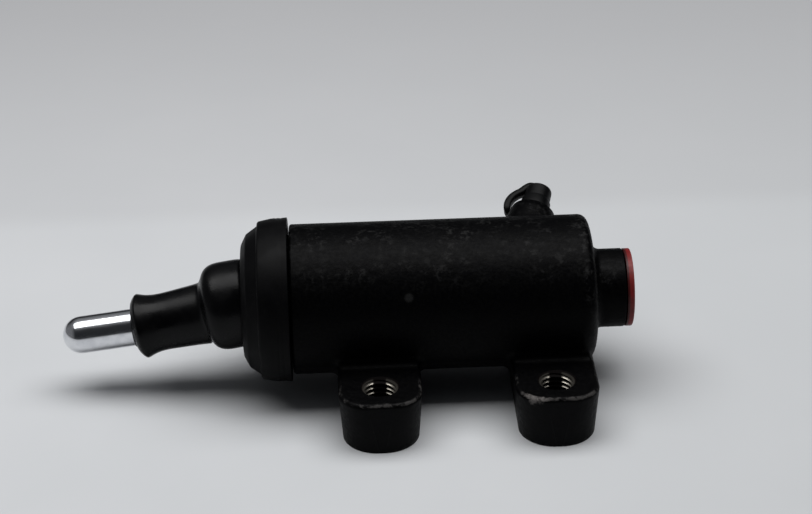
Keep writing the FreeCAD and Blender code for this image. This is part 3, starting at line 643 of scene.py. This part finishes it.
cap = turned("bleed_cap_skin", cap_outline(), BLEED_FACE, BLEED_AXIS, 64)
ring_outline = rounded([(3.05, 2.95), (3.05, 4.3, 0.4), (4.15, 4.3, 0.4), (4.15, 2.95)])
ring = turned("bleed_cap_ring", ring_outline, BLEED_FACE, BLEED_AXIS, 64)
cap_rubber = boot_rubber("cap_rubber", 0.45, 0.12)
for piece in (cap, ring, make_strap()):
    dress(piece, cap_rubber)
    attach(piece, "bleed_cap")
    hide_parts("bleed_cap")


# The transport plug

def plug_outline():
    return rounded([
        (-8.5, 0.0), (-8.5, 4.3, 0.3), (0.1, 4.8), (0.1, 11.55, 0.15), (2.15, 11.55, 0.4),
        (2.2, 4.1, 0.3), (-7.2, 3.1, 0.3), (-7.2, 0.0),
    ])


plug = turned("plug_moulding", plug_outline(), INLET_FACE, Vector((1, 0, 0)), 96, closed=False)
dress(crisp(plug, 50), plug_plastic())
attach(plug, "port_plug")
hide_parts("port_plug")


# The carried solids

CARRIED = {
    "push_rod": bright_zinc(),
    "piston": turned_metal("piston_alloy", (0.72, 0.73, 0.74), 0.3),
    "piston_circlip": turned_metal("spring_steel", (0.2, 0.2, 0.21), 0.4),
    "return_spring": turned_metal("spring_wire", (0.3, 0.31, 0.32), 0.35),
    "piston_cup": boot_rubber("seal_rubber", 0.35, 0.4),
    "cup_spreader": moulded_seat(),
    "bleed_screw": turned_metal("plated_screw", (0.06, 0.058, 0.055), 0.42),
}
for node, material in CARRIED.items():
    carried = frame["nodes"][node]
    for slot in carried.material_slots:
        slot.material = material


# Floor, light and camera

CAMERA_TURNS = (1.92, 28.31, -1.17)
CAMERA_TARGET = Vector((-16.14, 32.0, 40.18)) * MM
CAMERA_DISTANCE = 0.6468
CAMERA_LENS = 97.54

def make_floor():
    """A pale sheet under the part, with painted shade that darkens it a little towards the right and the back, and
    a step darker still from about 14 cm behind the part, standing in for the backdrop's shaded wall.
    """
    mesh = bmesh.new()
    corners = [(-1.6, -1.6), (1.6, -1.6), (1.6, 1.8), (-1.6, 1.8)]
    mesh.faces.new([mesh.verts.new((x, y, 0.0)) for x, y in corners])
    floor = finished("floor", mesh)
    finish = Finish("floor_paper")
    cloud = finish.noise(60.0, 3.0)
    colour = finish.mix(cloud, (0.56, 0.575, 0.59), (0.62, 0.63, 0.645))
    # Painted shade: the light's fall-off towards the right and the back, and the backdrop wall's shade.
    right = finish.ramp(finish.along("X"), -100.0, 160.0)
    colour = finish.mix(right * 0.5, colour, (0.47, 0.485, 0.495))
    far = finish.ramp(finish.along("Y"), 60.0, 420.0)
    painted_wall_shade = finish.ramp(finish.along("Y"), 132.0, 150.0)
    colour = finish.mix(far * 0.6 + painted_wall_shade * 0.2, colour, (0.4, 0.4, 0.41))
    floor.data.materials.append(finish.surface(colour, 0.9))


def make_lamp(name, place, target, width, depth, power):
    lamp = bpy.data.lights.new(name, "AREA")
    lamp.shape = "RECTANGLE"
    lamp.size, lamp.size_y = width, depth
    lamp.energy = power
    holder = bpy.data.objects.new(name, lamp)
    holder.location = place
    holder.rotation_euler = (Vector(target) - Vector(place)).to_track_quat("-Z", "Y").to_euler()
    bpy.context.scene.collection.objects.link(holder)


def make_camera():
    """The photograph's view: a long lens from the front, looking down on the part."""
    yaw, pitch, roll = (math.radians(angle) for angle in CAMERA_TURNS)
    forward = Vector((math.sin(yaw) * math.cos(pitch), math.cos(yaw) * math.cos(pitch), -math.sin(pitch)))
    right = Vector((math.cos(yaw), -math.sin(yaw), 0))
    up = right.cross(forward)
    right, up = right * math.cos(roll) + up * math.sin(roll), up * math.cos(roll) - right * math.sin(roll)
    lens = bpy.data.cameras.new("camera")
    lens.sensor_width = 36.0
    lens.lens = CAMERA_LENS
    holder = bpy.data.objects.new("camera", lens)
    turn = Matrix((right, up, -forward)).transposed().to_4x4()
    holder.matrix_world = Matrix.Translation(CAMERA_TARGET - forward * CAMERA_DISTANCE) @ turn
    bpy.context.scene.collection.objects.link(holder)
    bpy.context.scene.camera = holder


def light_world():
    """Soft light from above and from the left, and a dark room round the rest."""
    studio = Finish("studio", bpy.data.worlds, "Generated")
    left = studio.add("ShaderNodeSeparateXYZ", {}, {0: studio.place}, "X") * -1
    away = studio.add("ShaderNodeSeparateXYZ", {}, {0: studio.place}, "Y")
    above = studio.add("ShaderNodeSeparateXYZ", {}, {0: studio.place}, "Z")
    light = studio.ramp(above * 0.9 + away * 0.3, 0.5, 0.95) + studio.ramp(left, 0.55, 0.9) * 0.6
    colour = studio.mix(light, (0.02, 0.021, 0.023), (0.24, 0.245, 0.255))
    studio.add_output(studio.add("ShaderNodeBackground", {}, {"Color": colour}), "ShaderNodeOutputWorld")
    bpy.context.scene.world = studio.owner


make_floor()
make_lamp("sky_panel", (0.0, 0.12, 0.9), (0, 0.03, 0), 1.5, 0.6, 11.3)
make_camera()
light_world()
bpy.context.scene.view_settings.view_transform = "Standard"
